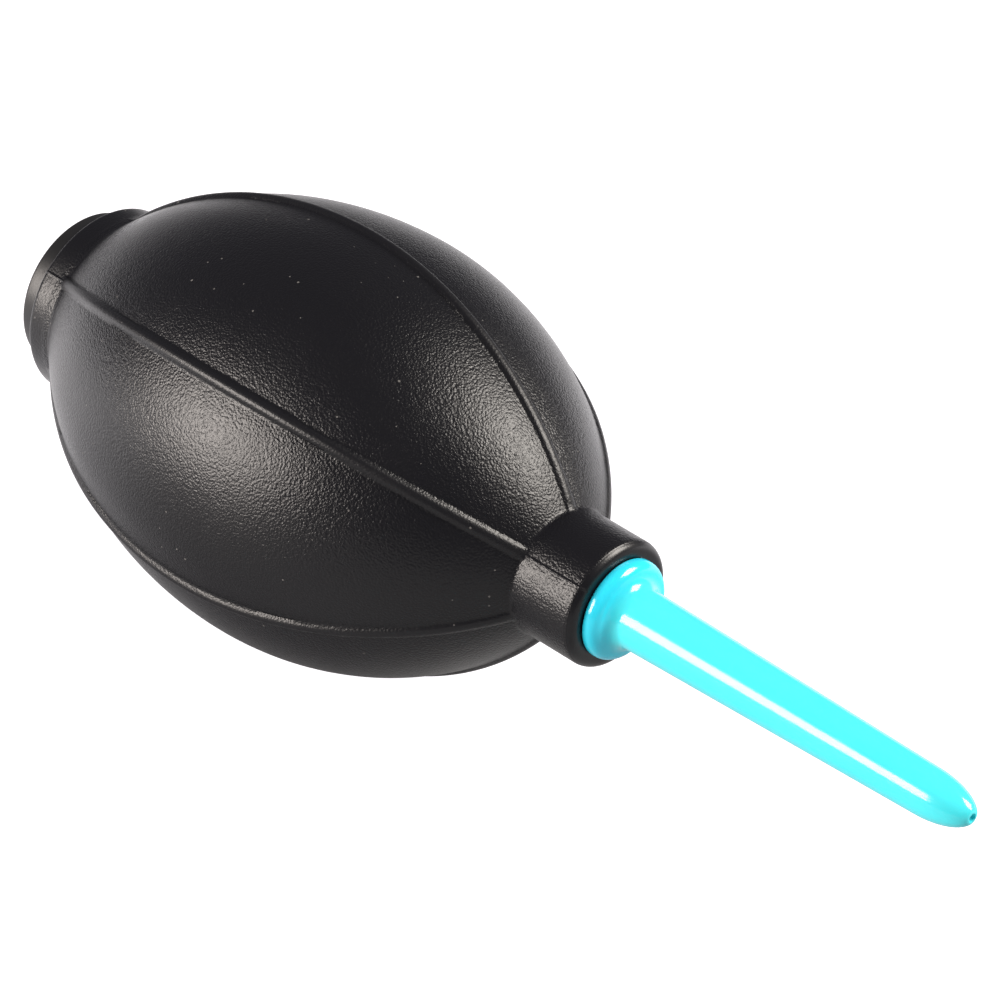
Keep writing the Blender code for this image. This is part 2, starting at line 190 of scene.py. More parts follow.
# Plastics: colour, worn colour, roughness, grain cells in a metre and depth of the grain
PLASTICS = {
    "satin_black_plastic": (
        (0.009, 0.009, 0.010, 1.0), (0.014, 0.014, 0.015, 1.0), 0.36, 5000.0, 0.00001),
    "natural_plastic": (
        (0.66, 0.66, 0.62, 1.0), (0.74, 0.74, 0.70, 1.0), 0.4, 4000.0, 0.00002),
}

# ------------------------------------------------------------------ camera and light
LENS = 180.0
CAMERA_TARGET = Vector((0.0022, -0.0016, 0.0347))
CAMERA_AZIMUTH = math.radians(45.5)
CAMERA_ELEVATION = math.radians(37.4)
CAMERA_ROLL = math.radians(-1.12)
CAMERA_DISTANCE = 0.591
FLOOR_SIZE = 6.0
GLOW_START = -0.01              # places on the floor behind the blower where its glow starts,
GLOW_FULL = 0.08                # is full, starts to fade and has faded
GLOW_FADE = 0.12
GLOW_END = 0.35
GLOW_STRENGTH = 1.0
GLOW_FAR_SHARE = 0.25           # what is left of the glow far behind
SKY_COLOUR = (0.95, 0.93, 1.0, 1.0)
SKY_STRENGTH = 0.17
BACKDROP_STRENGTH = 0.9

# Softboxes: azimuth, elevation and roll in degrees, distance, width, height, watts and colour
SOFTBOXES = {
    "front_left_softbox": (-29.0, 18.5, 10.0, 0.9, 0.6, 0.42, 12.0, (1.0, 0.92, 0.86)),
    "rear_right_softbox": (138.0, 38.0, 0.0, 1.0, 0.5, 0.5, 15.0, (1.0, 0.94, 0.87)),
}


# ------------------------------------------------------------------ outlines
def arc_radius(reach, end_radius):
    """Radius of the arc that falls from the belly's crest to end_radius over reach."""
    drop = BELLY_RADIUS - end_radius
    return (reach ** 2 + drop ** 2) / (2 * drop)


FRONT_ARC = arc_radius(FRONT_REACH, FRONT_END_RADIUS)
REAR_ARC = arc_radius(REAR_REACH, REAR_END_RADIUS)


def belly_station(arc, radius, inset=0.0):
    """Distance from the crest at which the belly, inset into its wall, has this radius."""
    centre = BELLY_RADIUS - arc
    return math.sqrt((arc - inset) ** 2 - (radius - centre) ** 2)


def belly_arc(arc, start, end, steps, inset=0.0):
    """Points (radius, station) on one half of the belly, at even steps of angle."""
    start_angle = math.asin(start / (arc - inset))
    end_angle = math.asin(end / (arc - inset))
    points = []
    for step in range(steps + 1):
        angle = start_angle + (end_angle - start_angle) * step / steps
        radius = BELLY_RADIUS - arc + (arc - inset) * math.cos(angle)
        points.append((radius, (arc - inset) * math.sin(angle)))
    return points


def line(start, end, steps):
    """Evenly spaced points on a straight stretch of an outline."""
    points = []
    for step in range(steps + 1):
        share = step / steps
        points.append((start[0] + (end[0] - start[0]) * share, start[1] + (end[1] - start[1]) * share))
    return points


def rounded(centre_radius, centre_station, size, start_degrees, end_degrees, steps=10):
    """Points of a round corner; 0 degrees points outwards and 90 towards the nozzle."""
    points = []
    for step in range(steps + 1):
        angle = math.radians(start_degrees + (end_degrees - start_degrees) * step / steps)
        points.append((centre_radius + size * math.cos(angle), centre_station + size * math.sin(angle)))
    return points


def trimmed(stroke, size):
    """The stroke cut back from its last point by size."""
    corner = Vector(stroke[-1])
    kept = [point for point in stroke if (Vector(point) - corner).length > size]
    before = Vector(kept[-1])
    after = Vector(stroke[len(kept)])
    low, high = 0.0, 1.0
    for _ in range(20):
        middle = (low + high) / 2
        if (before.lerp(after, middle) - corner).length > size:
            low = middle
        else:
            high = middle
    return kept + [tuple(before.lerp(after, low))]


def softened(first, second, size, steps=8):
    """Two strokes that meet at a corner, joined by a smooth bend that starts size away from it."""
    corner = Vector(first[-1])
    before = trimmed(first, size)
    after = trimmed(second[::-1], size)[::-1]
    start = Vector(before[-1])
    end = Vector(after[0])
    bend = []
    for step in range(1, steps):
        share = step / steps
        bend.append(tuple(start.lerp(corner, share).lerp(corner.lerp(end, share), share)))
    return before + bend + after


def outline_mesh(name, points, outside=None, grained=None):
    """Edge-only mesh of an outline: x is the radius, z the station, with two masks on its points."""
    mesh = bpy.data.meshes.new(name)
    verts = [(radius, 0.0, station) for radius, station in points]
    mesh.from_pydata(verts, [(i, i + 1) for i in range(len(verts) - 1)], [])
    for label, values in (("outside", outside), ("grained", grained)):
        mask = mesh.attributes.new(label, "FLOAT", "POINT")
        mask.data.foreach_set("value", values or [1.0] * len(verts))
    return mesh


# ------------------------------------------------------------------ node helpers
def new_tree(name, kind, inputs, outputs):
    """Node group with named sockets; returns it with its input and output sockets by name."""
    tree = bpy.data.node_groups.new(name, kind)
    for label, socket_type, default in inputs:
        socket = tree.interface.new_socket(name=label, in_out="INPUT", socket_type=socket_type)
        if default is not None:
            socket.default_value = default
    for label, socket_type in outputs:
        tree.interface.new_socket(name=label, in_out="OUTPUT", socket_type=socket_type)
    given = tree.nodes.new("NodeGroupInput")
    result = tree.nodes.new("NodeGroupOutput")
    return tree, given.outputs, result.inputs


def feed(tree, socket, value):
    """Links a socket to another, or sets its own value."""
    if isinstance(value, bpy.types.NodeSocket):
        tree.links.new(value, socket)
    else:
        socket.default_value = value


def node(tree, kind, settings=None, **inputs):
    """New node with its settings, and its inputs fed by name (underscores for spaces)."""
    made = tree.nodes.new(kind)
    for label, value in (settings or {}).items():
        setattr(made, label, value)
    for label, value in inputs.items():
        feed(tree, made.inputs[label.replace("_", " ")], value)
    return made


def calc(tree, operation, *values):
    """Result of one math node."""
    made = tree.nodes.new("ShaderNodeMath")
    made.operation = operation
    for socket, value in zip(made.inputs, values):
        feed(tree, socket, value)
    return made.outputs[0]


def ramp(tree, value, low, high, to_low=0.0, to_high=1.0):
    """Smooth step from to_low at low to to_high at high."""
    made = tree.nodes.new("ShaderNodeMapRange")
    made.interpolation_type = "SMOOTHSTEP"
    feed(tree, made.inputs["Value"], value)
    feed(tree, made.inputs["From Min"], low)
    feed(tree, made.inputs["From Max"], high)
    feed(tree, made.inputs["To Min"], to_low)
    feed(tree, made.inputs["To Max"], to_high)
    return made.outputs["Result"]


def combine(tree, x, y, z):
    made = tree.nodes.new("ShaderNodeCombineXYZ")
    for socket, value in zip(made.inputs, (x, y, z)):
        feed(tree, socket, value)
    return made.outputs[0]


def separate(tree, vector):
    made = tree.nodes.new("ShaderNodeSeparateXYZ")
    feed(tree, made.inputs[0], vector)
    return made.outputs


def sampled(tree, source, kind, value, index):
    """Value of one point of the source geometry."""
    made = node(tree, "GeometryNodeSampleIndex", {"data_type": kind, "domain": "POINT"})
    feed(tree, made.inputs["Geometry"], source)
    feed(tree, made.inputs["Value"], value)
    feed(tree, made.inputs["Index"], index)
    return made.outputs["Value"]


def point_mask(tree, label):
    made = node(tree, "GeometryNodeInputNamedAttribute", {"data_type": "FLOAT"}, Name=label)
    return made.outputs["Attribute"]


def keep_mask(tree, geometry, label, value):
    """Stores a value on every point, under a name that the materials read."""
    made = node(tree, "GeometryNodeStoreNamedAttribute", {"data_type": "FLOAT", "domain": "POINT"})
    feed(tree, made.inputs["Geometry"], geometry)
    feed(tree, made.inputs["Name"], label)
    feed(tree, made.inputs["Value"], value)
    return made.outputs["Geometry"]


def finish_tree(tree, geometry, material, result):
    """Every tree ends in plain geometry with its material on it."""
    smooth = node(tree, "GeometryNodeSetShadeSmooth", Geometry=geometry)
    real = node(tree, "GeometryNodeRealizeInstances", Geometry=smooth.outputs["Geometry"])
    coated = node(tree, "GeometryNodeSetMaterial", Geometry=real.outputs["Geometry"], Material=material)
    feed(tree, result["Geometry"], coated.outputs["Geometry"])


# ------------------------------------------------------------------ geometry trees
def turned_solid_tree():
    """Turns an outline round the blower's axis, all the way or part of it."""
    tree, given, result = new_tree("Turned solid", "GeometryNodeTree", [
        ("Outline", "NodeSocketGeometry", None),
        ("Steps", "NodeSocketInt", NOZZLE_STEPS),
        ("Start Angle", "NodeSocketFloat", 0.0),
        ("Sweep Angle", "NodeSocketFloat", 2 * math.pi),
        ("Crowded Lines", "NodeSocketFloat", 1.0),
        ("Crowding", "NodeSocketFloat", 0.0),
        ("Centre X", "NodeSocketFloat", 0.0),
        ("Axis Height", "NodeSocketFloat", 0.0),
        ("Merge Distance", "NodeSocketFloat", 0.000001),
        ("Material", "NodeSocketMaterial", None),
    ], [("Geometry", "NodeSocketGeometry")])
    outline = given["Outline"]
    size = node(tree, "GeometryNodeAttributeDomainSize", {"component": "MESH"}, Geometry=outline)
    count = size.outputs["Point Count"]
    rows = calc(tree, "ADD", given["Steps"], 1.0)
    grid = node(tree, "GeometryNodeMeshGrid", Size_X=1.0, Size_Y=1.0, Vertices_X=count, Vertices_Y=rows)
    position = node(tree, "GeometryNodeInputPosition").outputs[0]
    place = separate(tree, position)
    along = calc(tree, "ADD", place[0], 0.5)
    index = calc(tree, "ROUND", calc(tree, "MULTIPLY", along, calc(tree, "SUBTRACT", count, 1.0)))
    around = calc(tree, "ADD", place[1], 0.5)
    turns = calc(tree, "MULTIPLY", given["Crowded Lines"], 2 * math.pi)
    swing = calc(tree, "SINE", calc(tree, "MULTIPLY", around, turns))
    shift = calc(tree, "DIVIDE", calc(tree, "MULTIPLY", swing, given["Crowding"]), turns)
    share = calc(tree, "SUBTRACT", around, shift)
    angle = calc(tree, "MULTIPLY_ADD", share, given["Sweep Angle"], given["Start Angle"])
    point = separate(tree, sampled(tree, outline, "FLOAT_VECTOR", position, index))
    x = calc(tree, "ADD", point[2], given["Centre X"])
    y = calc(tree, "MULTIPLY", point[0], calc(tree, "MULTIPLY", calc(tree, "SINE", angle), -1.0))
    z = calc(tree, "MULTIPLY_ADD", point[0], calc(tree, "COSINE", angle), given["Axis Height"])
    shape = grid.outputs["Mesh"]
    for label in ("outside", "grained"):
        mask = sampled(tree, outline, "FLOAT", point_mask(tree, label), index)
        shape = keep_mask(tree, shape, label, mask)
    placed = node(tree, "GeometryNodeSetPosition", Geometry=shape, Position=combine(tree, x, y, z))
    merged = node(tree, "GeometryNodeMergeByDistance", Geometry=placed.outputs["Geometry"],
                  Distance=given["Merge Distance"])
    finish_tree(tree, merged.outputs["Geometry"], given["Material"], result)
    return tree


def rubber_detail_tree():
    """Raises the ribs and the mould's parting line out of a turned rubber bulb."""
    tree, given, result = new_tree("Ribs and parting line", "GeometryNodeTree", [
        ("Geometry", "NodeSocketGeometry", None),
        ("Centre X", "NodeSocketFloat", 0.0),
        ("Axis Height", "NodeSocketFloat", 0.0),
        ("Rib Count", "NodeSocketFloat", 6.0),
        ("First Rib Angle", "NodeSocketFloat", 0.0),
        ("Rib Height", "NodeSocketFloat", 0.0006),
        ("Rib Round", "NodeSocketFloat", 0.001),
        ("Rib Foot", "NodeSocketFloat", 0.0002),
        ("Front Station", "NodeSocketFloat", 0.04),
        ("Rear Station", "NodeSocketFloat", -0.04),
        ("Rib Fade", "NodeSocketFloat", 0.004),
        ("Parting Height", "NodeSocketFloat", 0.0001),
        ("Parting Half Width", "NodeSocketFloat", 0.0002),
        ("Wave Height", "NodeSocketFloat", 0.0),
        ("Wave Scale", "NodeSocketFloat", 90.0),
        ("Material", "NodeSocketMaterial", None),
    ], [("Geometry", "NodeSocketGeometry")])
    position = node(tree, "GeometryNodeInputPosition").outputs[0]
    place = separate(tree, position)
    station = calc(tree, "SUBTRACT", place[0], given["Centre X"])
    side = calc(tree, "MULTIPLY", place[1], -1.0)
    rise = calc(tree, "SUBTRACT", place[2], given["Axis Height"])
    angle = calc(tree, "ARCTAN2", side, rise)
    squares = calc(tree, "MULTIPLY_ADD", side, side, calc(tree, "MULTIPLY", rise, rise))
    radius = calc(tree, "SQRT", squares)
    from_first = calc(tree, "SUBTRACT", angle, given["First Rib Angle"])

    half_pitch = calc(tree, "DIVIDE", math.pi, given["Rib Count"])
    to_rib = calc(tree, "WRAP", from_first, half_pitch, calc(tree, "MULTIPLY", half_pitch, -1.0))
    rib_distance = calc(tree, "MULTIPLY", calc(tree, "ABSOLUTE", to_rib), radius)
    sunk = calc(tree, "SUBTRACT", given["Rib Round"], given["Rib Height"])
    chord = calc(tree, "MULTIPLY_ADD", given["Rib Round"], given["Rib Round"], calc(
        tree, "MULTIPLY", calc(tree, "MULTIPLY", rib_distance, rib_distance), -1.0))
    bead = calc(tree, "SUBTRACT", calc(tree, "SQRT", calc(tree, "MAXIMUM", chord, 0.0)), sunk)
    bead = calc(tree, "SMOOTH_MAX", bead, 0.0, given["Rib Foot"])
    bead = calc(tree, "DIVIDE", bead, given["Rib Height"])
    front_fade = ramp(tree, station, calc(tree, "SUBTRACT", given["Front Station"], given["Rib Fade"]),
                      given["Front Station"], 1.0, 0.0)
    rear_fade = ramp(tree, station, given["Rear Station"],
                     calc(tree, "ADD", given["Rear Station"], given["Rib Fade"]))
    on_belly = calc(tree, "MULTIPLY", front_fade, rear_fade)
    outside = point_mask(tree, "outside")
    rib = calc(tree, "MULTIPLY", calc(tree, "MULTIPLY", bead, on_belly), outside)

    to_line = calc(tree, "WRAP", from_first, math.pi / 2, -math.pi / 2)
    line_distance = calc(tree, "MULTIPLY", calc(tree, "ABSOLUTE", to_line), radius)
    parting = calc(tree, "SUBTRACT", 1.0, calc(tree, "DIVIDE", line_distance, given["Parting Half Width"]))
    parting = calc(tree, "MULTIPLY", calc(tree, "MAXIMUM", parting, 0.0), outside)
    off_belly = calc(tree, "SUBTRACT", 1.0, on_belly)
    parting = calc(tree, "MULTIPLY", parting, off_belly)

    noise = node(tree, "ShaderNodeTexNoise", Vector=position, Scale=given["Wave Scale"], Detail=1.0)
    wave = calc(tree, "SUBTRACT", noise.outputs["Fac"], 0.5)
    wave = calc(tree, "MULTIPLY", calc(tree, "MULTIPLY", wave, given["Wave Height"]), outside)
    rise_by = calc(tree, "MULTIPLY_ADD", rib, given["Rib Height"], wave)
    rise_by = calc(tree, "MULTIPLY_ADD", parting, given["Parting Height"], rise_by)
    share = calc(tree, "DIVIDE", rise_by, calc(tree, "MAXIMUM", radius, 0.0001))
    offset = combine(tree, 0.0, calc(tree, "MULTIPLY", place[1], share), calc(tree, "MULTIPLY", rise, share))

    shape = keep_mask(tree, given["Geometry"], "rib", rib)
    # band beside each rib where the material paints shade
    across = calc(tree, "DIVIDE", rib_distance, given["Rib Round"])
    foot = calc(tree, "MULTIPLY", ramp(tree, across, *SHADE_BAND_RISE),
                ramp(tree, across, *SHADE_BAND_FALL, 1.0, 0.0))
    shape = keep_mask(tree, shape, "painted_rib_shade", calc(tree, "MULTIPLY", foot, on_belly))
    shape = keep_mask(tree, shape, "parting", parting)
    moved = node(tree, "GeometryNodeSetPosition", Geometry=shape, Offset=offset)
    finish_tree(tree, moved.outputs["Geometry"], given["Material"], result)
    return tree


def perforation_tree():
    """Cuts a ring of round holes through a turned piece, parallel to the blower's axis."""
    tree, given, result = new_tree("Ring of holes", "GeometryNodeTree", [
        ("Geometry", "NodeSocketGeometry", None),
        ("Holes", "NodeSocketInt", 6),
        ("Hole Radius", "NodeSocketFloat", 0.001),
        ("Circle Radius", "NodeSocketFloat", 0.005),
        ("Depth", "NodeSocketFloat", 0.004),
        ("Centre", "NodeSocketVector", (0.0, 0.0, 0.0)),
        ("Material", "NodeSocketMaterial", None),
    ], [("Geometry", "NodeSocketGeometry")])
    circle = node(tree, "GeometryNodeMeshCircle", Vertices=given["Holes"], Radius=given["Circle Radius"])
    rod = node(tree, "GeometryNodeMeshCylinder", Vertices=HOLE_SIDES, Radius=given["Hole Radius"],
               Depth=given["Depth"])
    rods = node(tree, "GeometryNodeInstanceOnPoints", Points=circle.outputs["Mesh"],
                Instance=rod.outputs["Mesh"])
    lying = node(tree, "GeometryNodeTransform", Geometry=rods.outputs["Instances"],
                 Translation=given["Centre"], Rotation=(0.0, math.pi / 2, 0.0))
    real = node(tree, "GeometryNodeRealizeInstances", Geometry=lying.outputs["Geometry"])
    cut = node(tree, "GeometryNodeMeshBoolean", {"operation": "DIFFERENCE", "solver": "EXACT"})
    feed(tree, cut.inputs["Mesh 1"], given["Geometry"])
    feed(tree, cut.inputs["Mesh 2"], real.outputs["Geometry"])
    finish_tree(tree, cut.outputs["Mesh"], given["Material"], result)
    return tree


def set_inputs(modifier, tree, values):
    """Sets a geometry modifier's inputs by the names of the tree's sockets."""
    modifier.node_group = tree
    names = {item.name: item.identifier for item in tree.interface.items_tree if item.in_out == "INPUT"}
    for label, value in values.items():
        modifier[names[label]] = value


def grown(name, mesh, steps):
    """Plain mesh object from a start mesh and a list of (tree, inputs) run on it in turn."""
    seed = bpy.data.objects.new(name + "_seed", mesh)
    bpy.context.scene.collection.objects.link(seed)
    for tree, values in steps:
        set_inputs(seed.modifiers.new(tree.name, "NODES"), tree, values)
    bpy.context.view_layer.update()
    evaluated = seed.evaluated_get(bpy.context.evaluated_depsgraph_get())
    result = bpy.data.meshes.new_from_object(evaluated)
    bpy.data.objects.remove(seed, do_unlink=True)
    piece = bpy.data.objects.new(name, result)
    bpy.context.scene.collection.objects.link(piece)
    return piece


def close_and_orient(piece, sharp_degrees):
    """Closes the cut faces, turns every face outwards and keeps real corners sharp."""
    mesh = bmesh.new()
    mesh.from_mesh(piece.data)
    open_edges = [edge for edge in mesh.edges if edge.is_boundary]
    if open_edges:
        bmesh.ops.holes_fill(mesh, edges=open_edges, sides=0)
    bmesh.ops.recalc_face_normals(mesh, faces=mesh.faces)
    big = [face for face in mesh.faces if len(face.verts) > 4]
    bmesh.ops.triangulate(mesh, faces=big)
    mesh.to_mesh(piece.data)
    mesh.free()
    piece.data.shade_smooth()
    piece.data.set_sharp_from_angle(angle=math.radians(sharp_degrees))


def turn_inputs(steps, material):
    """Inputs of a piece that is turned all the way round the blower's axis."""
    return {"Steps": steps, "Centre X": BELLY_X, "Axis Height": AXIS_HEIGHT, "Material": material}


# ------------------------------------------------------------------ rubber bulb
def bulb_outline():
    """Outline of the bulb's wall with its masks, closed on itself."""
    neck_joint = belly_station(FRONT_ARC, NECK_RADIUS)
    collar_joint = belly_station(REAR_ARC, COLLAR_RADIUS)
    hollow_front = belly_station(FRONT_ARC, NECK_BORE, WALL)
    hollow_rear = belly_station(REAR_ARC, COLLAR_BORE, WALL)
    edge_radius = NECK_RADIUS - NECK_EDGE

    face = line((NECK_BORE, NECK_FACE), (edge_radius, NECK_FACE), 6)
    edge = rounded(edge_radius, NECK_FACE - NECK_EDGE, NECK_EDGE, 90, 0, 12)
    neck = line((NECK_RADIUS, NECK_FACE - NECK_EDGE), (NECK_RADIUS, neck_joint), 14)
    belly = belly_arc(FRONT_ARC, neck_joint, 0.0, BELLY_STEPS)
    belly += belly_arc(REAR_ARC, 0.0, -collar_joint, BELLY_STEPS)[1:]
    collar = line((COLLAR_RADIUS, -collar_joint), (COLLAR_RADIUS, COLLAR_FACE), 8)
    collar_face = line((COLLAR_RADIUS, COLLAR_FACE), (COLLAR_BORE, COLLAR_FACE), 8)
    collar_bore = line((COLLAR_BORE, COLLAR_FACE), (COLLAR_BORE, -hollow_rear), 4)
    hollow = belly_arc(REAR_ARC, -hollow_rear, 0.0, HOLLOW_STEPS, WALL)
    hollow += belly_arc(FRONT_ARC, 0.0, hollow_front, HOLLOW_STEPS, WALL)[1:]
    neck_bore = line((NECK_BORE, hollow_front), (NECK_BORE, NECK_FACE), 8)

    outer = softened(neck, belly, NECK_CREASE)
    outer = softened(outer, collar, COLLAR_CREASE)
    outer = softened(outer, collar_face, COLLAR_EDGE)
    start = face[:-1] + edge[:-1]
    inner = collar_bore[1:] + hollow[1:] + neck_bore[1:]
    points = start + outer + inner
    outside = [1.0] * (len(start) + len(outer)) + [0.0] * len(inner)
    smooth_front = NECK_FACE - NECK_EDGE * SMOOTH_LIP
    smooth_rear = COLLAR_FACE + COLLAR_EDGE
    grained = []
    for _, station in points:
        if station > smooth_front or station < smooth_rear:
            grained.append(0.0)
        else:
            grained.append(COLLAR_GRAIN if station < -REAR_REACH else 1.0)
    return points, outside, grained


def make_bulb_halves(turned, detail, rubber):
    """The rubber bulb as two half skins that meet on the mould's parting plane."""
    points, outside, grained = bulb_outline()
    halves = []
    for side, direction in SQUEEZE_DIRECTIONS.items():
        mesh = outline_mesh("bulb_outline_" + side, points, outside, grained)
        turn = turn_inputs(HALF_TURN_STEPS, rubber)
        turn["Start Angle"] = direction - math.pi / 2
        turn["Sweep Angle"] = math.pi
        turn["Crowded Lines"] = RIB_COUNT / 2
        turn["Crowding"] = RIB_CROWDING
        raise_ribs = {
            "Centre X": BELLY_X, "Axis Height": AXIS_HEIGHT, "Rib Count": float(RIB_COUNT),
            "First Rib Angle": FIRST_RIB_ANGLE, "Rib Height": RIB_HEIGHT,
            "Rib Round": RIB_ROUND, "Rib Foot": RIB_FOOT, "Front Station": FRONT_REACH - NECK_CREASE,
            "Rear Station": COLLAR_CREASE - REAR_REACH, "Rib Fade": RIB_FADE,
            "Parting Height": PART_LINE_HEIGHT, "Parting Half Width": PART_LINE_HALF_WIDTH,
            "Wave Height": WAVE_HEIGHT, "Wave Scale": WAVE_SCALE, "Material": rubber,
        }
        half = grown("rubber_half_" + side, mesh, [(turned, turn), (detail, raise_ribs)])
        close_and_orient(half, RUBBER_SHARP)
        halves.append(half)
    return halves


# ------------------------------------------------------------------ nozzle
def nozzle_outline():
    """Closed outline: tip, tube, hollow corner, bead, ridged spigot and airway."""
    seat = NECK_FACE + SEAT_GAP
    rim = NECK_FACE + RIM_STATION
    tip_start = NOZZLE_TIP - TIP_LENGTH
    end_angle = math.acos((ORIFICE_RADIUS + ORIFICE_LIP) / TUBE_TIP_RADIUS)
    reach = TIP_LENGTH / math.sin(end_angle)
    lip = line((ORIFICE_RADIUS, NOZZLE_TIP), (ORIFICE_RADIUS + ORIFICE_LIP, NOZZLE_TIP), 4)
    point = []
    for step in range(TIP_STEPS + 1):
        angle = end_angle * (1 - step / TIP_STEPS)
        point.append((TUBE_TIP_RADIUS * math.cos(angle), tip_start + reach * math.sin(angle)))
    bead_radius = BEAD_RADIUS - BEAD_ROUND
    across = TUBE_BASE_RADIUS + BEAD_HOLLOW - bead_radius
    along = math.sqrt((BEAD_ROUND + BEAD_HOLLOW) ** 2 - across ** 2)
    meeting = math.degrees(math.atan2(along, across))
    corner = rim + along
    tube = line((TUBE_TIP_RADIUS, tip_start), (TUBE_BASE_RADIUS, corner), 24)
    hollow = rounded(bead_radius + across, corner, BEAD_HOLLOW, 180, 180 + meeting, 12)
    bead = rounded(bead_radius, rim, BEAD_ROUND, meeting, 0, 18)
    bead += rounded(BEAD_RADIUS - BEAD_BACK_EDGE, seat + BEAD_BACK_EDGE, BEAD_BACK_EDGE, 0, -90, 6)
    seat_face = line(bead[-1], (SPIGOT_RADIUS, seat), 4)
    points = softened(lip, point, MOUTH_SOFTNESS) + tube[1:] + hollow[1:] + bead[1:] + seat_face[1:]
    for index in range(SPIGOT_RIDGES):
        top = NECK_FACE - SPIGOT_RIDGE_START - SPIGOT_RIDGE_PITCH * index
        points.append((SPIGOT_RADIUS, top))
        points.append((SPIGOT_RADIUS + SPIGOT_RIDGE_HEIGHT, top))
        points.append((SPIGOT_RADIUS, top - SPIGOT_RIDGE_LENGTH))
    points += [(SPIGOT_RADIUS, NOZZLE_END + SPIGOT_BEVEL), (SPIGOT_RADIUS - SPIGOT_BEVEL, NOZZLE_END)]
    throat = NOZZLE_TIP - ORIFICE_LENGTH
    airway = line((AIRWAY_RADIUS, NOZZLE_END), (AIRWAY_RADIUS, throat - TIP_LENGTH), 12)
    points += airway + [(ORIFICE_RADIUS, throat), (ORIFICE_RADIUS, NOZZLE_TIP)]
    return points


def make_nozzle(turned, plastic):
    mesh = outline_mesh("nozzle_outline", nozzle_outline())
    piece = grown("moulded_nozzle", mesh, [(turned, turn_inputs(NOZZLE_STEPS, plastic))])
    close_and_orient(piece, NOZZLE_SHARP)
    return piece


# ------------------------------------------------------------------ rear cover
def cover_outline():
    """Cap with a rounded rim and a shallow ring groove in its rear face, from axis to axis."""
    ceiling = REAR_FACE + COVER_WALL
    bore = COVER_RADIUS - COVER_WALL
    inside = line((0.0, ceiling), (bore, ceiling), 8)
    skirt = line((bore, ceiling), (bore, COVER_FRONT), 6)
    lip = line((bore, COVER_FRONT), (COVER_RADIUS, COVER_FRONT), 3)
    wall = line((COVER_RADIUS, COVER_FRONT), (COVER_RADIUS, REAR_FACE + COVER_EDGE), 5)
    rim = rounded(COVER_RADIUS - COVER_EDGE, REAR_FACE + COVER_EDGE, COVER_EDGE, 0, -90, 14)
    groove = rounded(COVER_GROOVE_RADIUS, REAR_FACE, COVER_GROOVE_DEPTH, 0, 180, 8)
    face = line((COVER_GROOVE_RADIUS - COVER_GROOVE_DEPTH, REAR_FACE), (0.0, REAR_FACE), 8)
    outer = softened(softened(skirt, lip, COVER_SOFT_EDGE, 4), wall, COVER_SOFT_EDGE, 4)
    return inside[:-1] + outer[:-1] + rim + groove + face[1:]


def make_cover(turned, holes, plastic):
    mesh = outline_mesh("cover_outline", cover_outline())
    cut = {
        "Holes": COVER_HOLES, "Hole Radius": COVER_HOLE_RADIUS, "Circle Radius": COVER_HOLE_CIRCLE,
        "Depth": 4 * COVER_WALL, "Centre": (BELLY_X + REAR_FACE + COVER_WALL / 2, 0.0, AXIS_HEIGHT),
        "Material": plastic,
    }
    piece = grown("vented_cover", mesh, [(turned, turn_inputs(COVER_STEPS, plastic)), (holes, cut)])
    close_and_orient(piece, COVER_SHARP)
    soft = piece.modifiers.new("soft edges", "BEVEL")
    soft.width = COVER_SOFT_EDGE
    soft.segments = 2
    soft.limit_method = "ANGLE"
    soft.angle_limit = COVER_BEVEL_ANGLE
    return piece


# ------------------------------------------------------------------ shader groups
def object_place(tree):
    return node(tree, "ShaderNodeTexCoord").outputs["Object"]


def grain_group():
    """Pebbled grain of textured rubber: rounded cells broken up by finer noise."""
    tree, given, result = new_tree("Pebble grain", "ShaderNodeTree", [
        ("Place", "NodeSocketVector", (0.0, 0.0, 0.0)),
        ("Cells Per Metre", "NodeSocketFloat", 2200.0),
        ("Roughness Of Cells", "NodeSocketFloat", 0.5),
    ], [("Height", "NodeSocketFloat")])
    wobble = node(tree, "ShaderNodeTexNoise", Vector=given["Place"], Scale=calc(
        tree, "MULTIPLY", given["Cells Per Metre"], 0.35), Detail=2.0)
    shift = tree.nodes.new("ShaderNodeVectorMath")
    shift.operation = "SCALE"
    feed(tree, shift.inputs[0], wobble.outputs["Color"])
    feed(tree, shift.inputs["Scale"], 0.0004)
    moved = tree.nodes.new("ShaderNodeVectorMath")
    moved.operation = "ADD"
    feed(tree, moved.inputs[0], given["Place"])
    feed(tree, moved.inputs[1], shift.outputs[0])
    cells = node(tree, "ShaderNodeTexVoronoi", {"feature": "SMOOTH_F1"}, Vector=moved.outputs[0],
                 Scale=given["Cells Per Metre"], Smoothness=0.6)
    fine = node(tree, "ShaderNodeTexNoise", Vector=given["Place"], Scale=calc(
        tree, "MULTIPLY", given["Cells Per Metre"], 1.4), Detail=3.0, Roughness=0.6)
    domes = calc(tree, "SUBTRACT", 1.0, cells.outputs["Distance"])
    rough = calc(tree, "MULTIPLY", fine.outputs["Fac"], given["Roughness Of Cells"])
    feed(tree, result["Height"], calc(tree, "ADD", domes, rough))
    return tree


